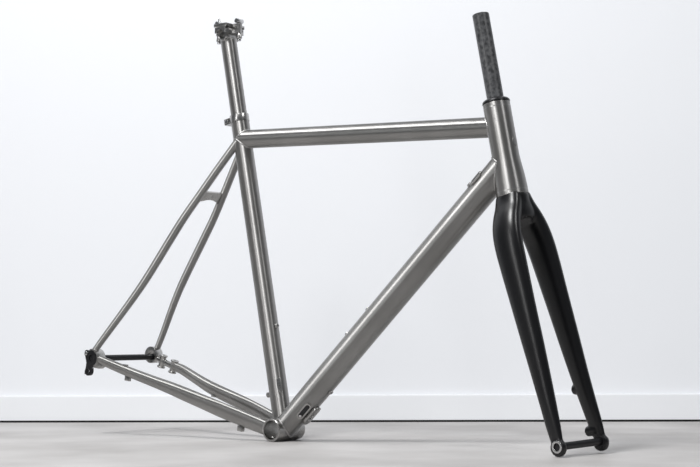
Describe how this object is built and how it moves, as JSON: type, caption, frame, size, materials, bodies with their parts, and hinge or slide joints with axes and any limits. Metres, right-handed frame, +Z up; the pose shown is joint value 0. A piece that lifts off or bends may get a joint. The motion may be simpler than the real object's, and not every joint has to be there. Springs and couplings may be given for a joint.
{
  "type": "bicycle frame",
  "caption": "Bare titanium bicycle frame with a carbon disc fork, uncut steerer, headset, seatpost with saddle clamp, and thru axles.",
  "frame": {"origin": "middle of the bounding box at floor level; the frame stands on its bottom bracket shell and the fork tips", "axes": "+X forward, +Y to the rider's left, +Z up; the frame is pitched 7.3 degrees nose down from its riding position and the fork is turned 7.8 degrees to the right"},
  "size_m": [1.0834, 0.19, 0.8053],
  "materials": {
    "titanium": "bare titanium, fine brushed satin",
    "steel": "machined stainless steel",
    "black_alloy": "black anodised, satin",
    "carbon": "satin black clear coat over carbon fibre",
    "steerer_carbon": "bare moulded carbon fibre"
  },
  "bodies": {
    "frame": {"bottom_bracket_shell": "titanium", "cable_cover_screw_1": "steel", "cable_cover_screw_2": "steel", "cable_exit_cover": "titanium", "cable_hook_front": "titanium", "cable_hook_rear": "titanium", "chainstay_left": "titanium", "chainstay_port_left": "titanium", "chainstay_right": "titanium", "collar_bolt": "steel", "derailleur_hanger": "black_alloy", "down_tube": "titanium", "down_tube_boss_lower": "titanium", "down_tube_boss_under": "titanium", "down_tube_boss_upper": "titanium", "down_tube_screw": "titanium", "dropout_left": "titanium", "dropout_right": "titanium", "front_derailleur_mount": "titanium", "hanger_bolt": "steel", "head_tube": "titanium", "lower_bearing": "steel", "lower_port_cover": "black_alloy", "lower_port_rim": "titanium", "lower_port_screw": "steel", "mudguard_boss": "titanium", "rack_boss_right": "titanium", "seat_collar": "titanium", "seat_tube": "titanium", "seat_tube_boss": "titanium", "seatstay_bridge": "titanium", "seatstay_left": "titanium", "seatstay_right": "titanium", "top_tube": "titanium", "upper_bearing": "steel", "upper_port_rim": "titanium", "upper_port_stop": "black_alloy"},
    "fork": {"fork_crown_and_legs": "carbon", "steerer_tube": "steerer_carbon", "fork_tip_left": "black_alloy", "fork_tip_right": "steel", "brake_insert_upper": "steel", "brake_insert_lower": "steel", "headset_top_cover": "black_alloy", "compression_ring": "steel", "crown_race": "steel"},
    "seatpost": {"seatpost_tube": "titanium", "seatpost_barrel": "titanium"},
    "saddle_clamp": {"lower_cradle": "titanium", "upper_clamp": "titanium", "clamp_bolt_front": "steel", "clamp_bolt_rear": "steel", "clamp_spacer_front": "titanium", "clamp_spacer_rear": "titanium", "barrel_nut_front": "steel", "barrel_nut_rear": "steel"},
    "rear_axle": {"rear_axle": "black_alloy"},
    "front_axle": {"front_axle": "black_alloy"}
  },
  "joints": [
    {"name": "steering", "type": "hinge", "parent": "frame", "child": "fork", "pos_m": [0.39643, 0, 0.42064], "axis": [-0.1854, 0, 0.9827], "continuous": true},
    {"name": "seatpost_height", "type": "slide", "parent": "frame", "child": "seatpost", "axis": [-0.182, 0, 0.9833], "range_m": [-0.12, 0.08]},
    {"name": "saddle_tilt", "type": "hinge", "parent": "seatpost", "child": "saddle_clamp", "pos_m": [-0.2393, 0, 0.76769], "axis": [0, 1, 0], "range_deg": [-8, 8]},
    {"name": "rear_axle_pull", "type": "slide", "parent": "frame", "child": "rear_axle", "axis": [0, 1, 0], "range_m": [0, 0.17]},
    {"name": "front_axle_pull", "type": "slide", "parent": "fork", "child": "front_axle", "axis": [0.1334, 0.9907, 0.0252], "range_m": [0, 0.125]}
  ]
}
